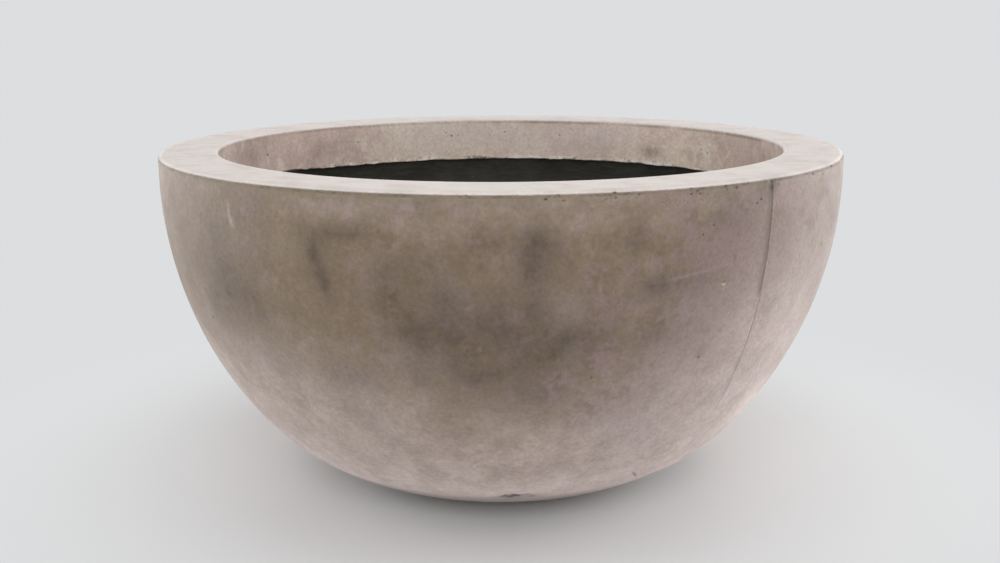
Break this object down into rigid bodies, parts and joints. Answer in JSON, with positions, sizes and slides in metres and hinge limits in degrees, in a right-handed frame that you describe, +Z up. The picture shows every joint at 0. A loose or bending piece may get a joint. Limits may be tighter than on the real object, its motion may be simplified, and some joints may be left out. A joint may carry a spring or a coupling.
{
  "type": "concrete bowl planter",
  "caption": "Large round concrete bowl planter with a wide flat lip, an upright inner collar, a black waterproof lining and a drain plug.",
  "frame": {"origin": "centre of the foot ring on the ground", "axes": "+Z up along the bowl's axis, -Y towards the viewer of the picture, +X to the viewer's right"},
  "size_m": [0.8, 0.8, 0.395],
  "materials": {
    "concrete": "matt cast concrete, mottled",
    "waterproof_coat": "brushed-on bituminous black",
    "sleeve_plastic": "moulded, satin",
    "plug_rubber": "moulded rubber, matt"
  },
  "bodies": {
    "bowl": {"shell": "concrete", "lining": "waterproof_coat", "drain_sleeve": "sleeve_plastic"},
    "plug": {"drain_plug": "plug_rubber"}
  },
  "joints": [
    {"name": "plug_pull", "type": "slide", "parent": "bowl", "child": "plug", "axis": [0, 0, 1], "range_m": [0, 0.4]}
  ]
}
